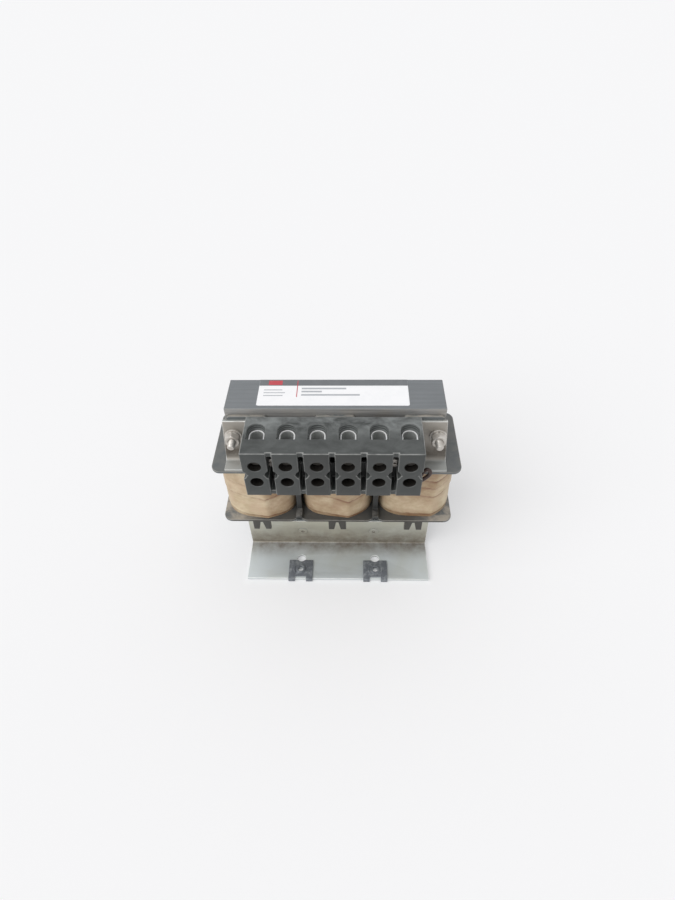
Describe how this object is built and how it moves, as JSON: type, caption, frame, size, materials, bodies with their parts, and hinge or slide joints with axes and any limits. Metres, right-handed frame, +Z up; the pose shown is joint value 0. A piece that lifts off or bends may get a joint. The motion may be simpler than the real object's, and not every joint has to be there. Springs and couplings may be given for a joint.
{
  "type": "line reactor",
  "caption": "Three-phase line reactor: laminated core with taped coils on moulded bobbins, a screw terminal strip in front and folded sheet feet.",
  "frame": {"origin": "middle of the core's underside", "axes": "+X along the core to the right, -Y towards the terminal strip, +Z up"},
  "size_m": [0.1338, 0.0803, 0.1178],
  "materials": {
    "varnished_core": "grey varnish on steel laminations",
    "bobbin_moulding": "dark grey moulded nylon",
    "strip_moulding": "dark grey moulded housing",
    "coil_tape": "varnished cream crepe tape",
    "enamelled_wire": "enamelled copper wire",
    "zinc_plate": "zinc-plated sheet steel",
    "zinc_fastener": "zinc-plated fasteners",
    "nickel_plate": "nickel-plated brass",
    "spring_steel": "dark phosphated spring steel",
    "fibre_board": "tan insulating board",
    "lead_sleeve": "dark brown sleeving",
    "label_film": "white label with plain colour fields"
  },
  "bodies": {
    "root": {"core_e_stack": "varnished_core", "core_yoke_bar": "varnished_core", "front_foot_bracket": "zinc_plate", "rear_foot_bracket": "zinc_plate", "foot_rivets": "zinc_plate", "terminal_bracket": "zinc_plate", "clamp_bolts": "zinc_fastener", "flat_washers": "zinc_fastener", "lock_washers": "zinc_fastener", "clamp_nuts": "zinc_fastener", "terminal_housing": "strip_moulding", "upper_terminal_screws": "nickel_plate", "lower_terminal_screws": "nickel_plate", "strip_screws": "zinc_fastener", "rating_label": "label_film", "gap_spacer_left": "fibre_board", "bobbin_left": "bobbin_moulding", "winding_left": "enamelled_wire", "coil_wrap_left": "coil_tape", "gap_spacer_middle": "fibre_board", "bobbin_middle": "bobbin_moulding", "winding_middle": "enamelled_wire", "coil_wrap_middle": "coil_tape", "gap_spacer_right": "fibre_board", "bobbin_right": "bobbin_moulding", "winding_right": "enamelled_wire", "coil_wrap_right": "coil_tape", "coil_spacer_left": "bobbin_moulding", "clip_nut_left": "spring_steel", "coil_spacer_right": "bobbin_moulding", "clip_nut_right": "spring_steel", "terminal_barrel_1": "nickel_plate", "coil_lead_1": "lead_sleeve", "terminal_barrel_2": "nickel_plate", "coil_lead_2": "lead_sleeve", "terminal_barrel_3": "nickel_plate", "coil_lead_3": "lead_sleeve", "terminal_barrel_4": "nickel_plate", "coil_lead_4": "lead_sleeve", "terminal_barrel_5": "nickel_plate", "coil_lead_5": "lead_sleeve", "terminal_barrel_6": "nickel_plate", "coil_lead_6": "lead_sleeve"}
  },
  "joints": []
}
